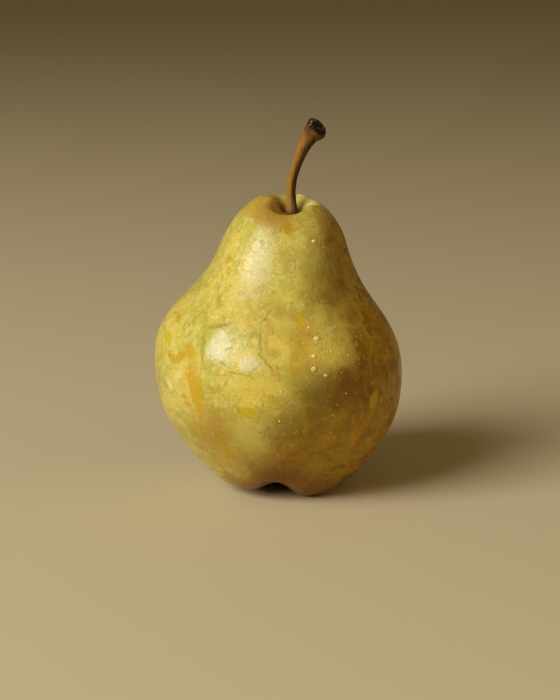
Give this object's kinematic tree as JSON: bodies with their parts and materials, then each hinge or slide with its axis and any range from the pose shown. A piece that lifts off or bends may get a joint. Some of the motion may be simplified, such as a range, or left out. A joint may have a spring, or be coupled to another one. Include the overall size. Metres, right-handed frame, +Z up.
{
  "type": "pear",
  "caption": "Whole ripe dessert pear standing upright, with a waisted body, a lobed base, a curved woody stem in its cavity and a dried calyx in its basin.",
  "frame": {"origin": "on the surface that the pear rests on, under the middle of its box, which the belly's width sets", "axes": "+Z up from the base to the stem, -Y towards the viewer, +X to the right, the side that the stem leans to"},
  "size_m": [0.078, 0.077, 0.1167],
  "materials": {
    "skin": "waxy satin skin over flesh, yellow green with golden and brown mottling",
    "stem": "dry brown bark with fine ridges along it, dark broken end",
    "calyx": "dry dark brown, withered"
  },
  "bodies": {
    "root": {"fruit": "skin", "stem": "stem", "calyx": "calyx"}
  },
  "joints": []
}
